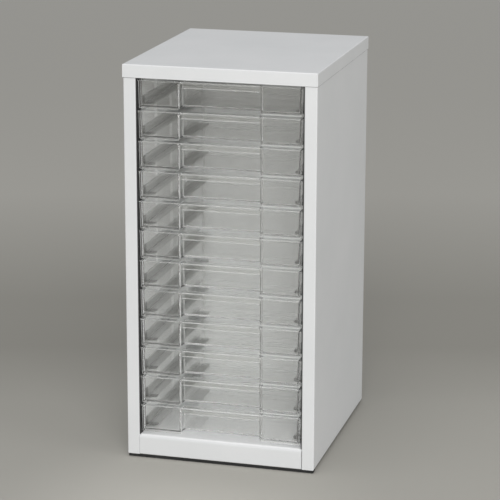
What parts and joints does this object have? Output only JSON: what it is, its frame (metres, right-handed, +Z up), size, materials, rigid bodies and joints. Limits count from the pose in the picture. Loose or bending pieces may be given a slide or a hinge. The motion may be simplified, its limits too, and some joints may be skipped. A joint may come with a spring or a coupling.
{
  "type": "tray cabinet",
  "caption": "Upright cabinet of folded light grey sheet steel, open at the front, with a stack of clear plastic trays that slide out on runners by recessed finger pulls",
  "frame": {"origin": "centre of the footprint, on the surface that the feet stand on", "axes": "+Z up; the open front with the trays faces -Y; +X to the right seen from the front"},
  "size_m": [0.277, 0.3258, 0.5732],
  "materials": {
    "painted_steel": "light grey powder coat, satin",
    "runner_steel": "mid grey coat, satin",
    "black_trim": "black coat, matte",
    "clear_plastic": "clear injection-moulded polystyrene, polished",
    "foot_rubber": "matte black",
    "screw_steel": "zinc plated"
  },
  "bodies": {
    "cabinet": {"back_panel": "painted_steel", "back_screws": "screw_steel", "base_pan": "painted_steel", "foot_front": "foot_rubber", "foot_rear_left": "foot_rubber", "foot_rear_right": "foot_rubber", "front_rail": "painted_steel", "front_strip_left": "black_trim", "front_strip_right": "black_trim", "liner_left": "painted_steel", "liner_right": "painted_steel", "runner_left_01": "runner_steel", "runner_left_02": "runner_steel", "runner_left_03": "runner_steel", "runner_left_04": "runner_steel", "runner_left_05": "runner_steel", "runner_left_06": "runner_steel", "runner_left_07": "runner_steel", "runner_left_08": "runner_steel", "runner_left_09": "runner_steel", "runner_left_10": "runner_steel", "runner_left_11": "runner_steel", "runner_left_12": "runner_steel", "runner_right_01": "runner_steel", "runner_right_02": "runner_steel", "runner_right_03": "runner_steel", "runner_right_04": "runner_steel", "runner_right_05": "runner_steel", "runner_right_06": "runner_steel", "runner_right_07": "runner_steel", "runner_right_08": "runner_steel", "runner_right_09": "runner_steel", "runner_right_10": "runner_steel", "runner_right_11": "runner_steel", "runner_right_12": "runner_steel", "side_panel_left": "painted_steel", "side_panel_right": "painted_steel", "top_cover": "painted_steel"},
    "tray_01": {"tray_01": "clear_plastic"},
    "tray_02": {"tray_02": "clear_plastic"},
    "tray_03": {"tray_03": "clear_plastic"},
    "tray_04": {"tray_04": "clear_plastic"},
    "tray_05": {"tray_05": "clear_plastic"},
    "tray_06": {"tray_06": "clear_plastic"},
    "tray_07": {"tray_07": "clear_plastic"},
    "tray_08": {"tray_08": "clear_plastic"},
    "tray_09": {"tray_09": "clear_plastic"},
    "tray_10": {"tray_10": "clear_plastic"},
    "tray_11": {"tray_11": "clear_plastic"},
    "tray_12": {"tray_12": "clear_plastic"}
  },
  "joints": [
    {"name": "tray_01_slide", "type": "slide", "parent": "cabinet", "child": "tray_01", "axis": [0, -1, 0], "range_m": [0, 0.24]},
    {"name": "tray_02_slide", "type": "slide", "parent": "cabinet", "child": "tray_02", "axis": [0, -1, 0], "range_m": [0, 0.24]},
    {"name": "tray_03_slide", "type": "slide", "parent": "cabinet", "child": "tray_03", "axis": [0, -1, 0], "range_m": [0, 0.24]},
    {"name": "tray_04_slide", "type": "slide", "parent": "cabinet", "child": "tray_04", "axis": [0, -1, 0], "range_m": [0, 0.24]},
    {"name": "tray_05_slide", "type": "slide", "parent": "cabinet", "child": "tray_05", "axis": [0, -1, 0], "range_m": [0, 0.24]},
    {"name": "tray_06_slide", "type": "slide", "parent": "cabinet", "child": "tray_06", "axis": [0, -1, 0], "range_m": [0, 0.24]},
    {"name": "tray_07_slide", "type": "slide", "parent": "cabinet", "child": "tray_07", "axis": [0, -1, 0], "range_m": [0, 0.24]},
    {"name": "tray_08_slide", "type": "slide", "parent": "cabinet", "child": "tray_08", "axis": [0, -1, 0], "range_m": [0, 0.24]},
    {"name": "tray_09_slide", "type": "slide", "parent": "cabinet", "child": "tray_09", "axis": [0, -1, 0], "range_m": [0, 0.24]},
    {"name": "tray_10_slide", "type": "slide", "parent": "cabinet", "child": "tray_10", "axis": [0, -1, 0], "range_m": [0, 0.24]},
    {"name": "tray_11_slide", "type": "slide", "parent": "cabinet", "child": "tray_11", "axis": [0, -1, 0], "range_m": [0, 0.24]},
    {"name": "tray_12_slide", "type": "slide", "parent": "cabinet", "child": "tray_12", "axis": [0, -1, 0], "range_m": [0, 0.24]}
  ]
}
